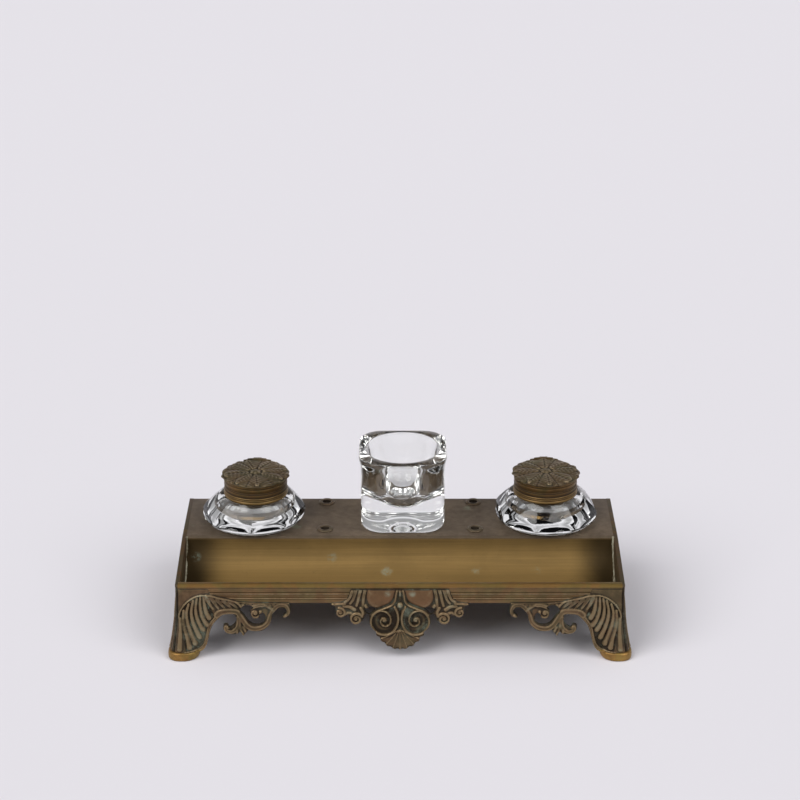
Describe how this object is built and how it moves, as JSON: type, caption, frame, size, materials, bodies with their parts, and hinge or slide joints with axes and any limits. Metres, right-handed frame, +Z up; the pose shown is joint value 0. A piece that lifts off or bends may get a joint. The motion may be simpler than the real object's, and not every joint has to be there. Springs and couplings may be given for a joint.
{
  "type": "desk inkstand",
  "caption": "Brass desk inkstand on scroll feet with a raised deck, long pen tray, hinged-lid ink bottles, a square glass tumbler and pen rack sockets.",
  "frame": {"origin": "bottom centre of the stand, on the desk that its feet rest on", "axes": "+X to the right along the stand's length, -Y towards the writer, where the pen tray is, +Z up"},
  "size_m": [0.2818, 0.1208, 0.103],
  "materials": {
    "sheet_brass": "old rolled brass sheet, brushed along its length, brown-grey on the deck and golden in the tray",
    "lip_brass": "rubbed golden brass with dark lines",
    "plate_brass": "dull tarnished brass plate",
    "cast_brass": "cast brass with brown patina, verdigris in the hollows and bright rubbed edges and toes",
    "rough_brass": "unpolished brass fittings",
    "socket_brass": "tarnished turned brass",
    "clear_glass": "clear cut and pressed glass",
    "cement": "pale setting cement, dull",
    "collar_brass": "turned brass, olive-gold",
    "lid_brass": "dark olive-brown cast brass"
  },
  "bodies": {
    "stand": {"deck_tray_sheet": "sheet_brass", "tray_lip": "lip_brass", "side_plate_left": "plate_brass", "side_plate_right": "plate_brass", "back_plate": "plate_brass", "front_casting": "cast_brass", "back_casting": "cast_brass", "side_casting_left": "cast_brass", "side_casting_right": "cast_brass", "corner_post_front_left": "rough_brass", "corner_post_front_right": "rough_brass", "corner_post_back_left": "rough_brass", "corner_post_back_right": "rough_brass", "deck_angle_left": "rough_brass", "deck_angle_right": "rough_brass", "frame_rivets": "rough_brass", "pen_rack_sockets": "socket_brass", "socket_nuts": "rough_brass"},
    "bottle_left": {"ink_bottle_left": "clear_glass", "neck_cement_left": "cement", "collar_left": "collar_brass", "hinge_pin_left": "rough_brass"},
    "lid_left_body": {"lid_left": "lid_brass"},
    "bottle_right": {"ink_bottle_right": "clear_glass", "neck_cement_right": "cement", "collar_right": "collar_brass", "hinge_pin_right": "rough_brass"},
    "lid_right_body": {"lid_right": "lid_brass"},
    "tumbler_body": {"tumbler": "clear_glass"}
  },
  "joints": [
    {"name": "bottle_left_lift", "type": "slide", "parent": "stand", "child": "bottle_left", "axis": [0, 0, 1], "range_m": [0, 0.09]},
    {"name": "lid_left_hinge", "type": "hinge", "parent": "bottle_left", "child": "lid_left_body", "pos_m": [-0.0903, 0.0466, 0.0838], "axis": [-1, 0, 0], "range_deg": [0, 105]},
    {"name": "bottle_right_lift", "type": "slide", "parent": "stand", "child": "bottle_right", "axis": [0, 0, 1], "range_m": [0, 0.09]},
    {"name": "lid_right_hinge", "type": "hinge", "parent": "bottle_right", "child": "lid_right_body", "pos_m": [0.0911, 0.048, 0.0838], "axis": [-1, 0, 0], "range_deg": [0, 105]},
    {"name": "tumbler_lift", "type": "slide", "parent": "stand", "child": "tumbler_body", "axis": [0, 0, 1], "range_m": [0, 0.09]}
  ]
}
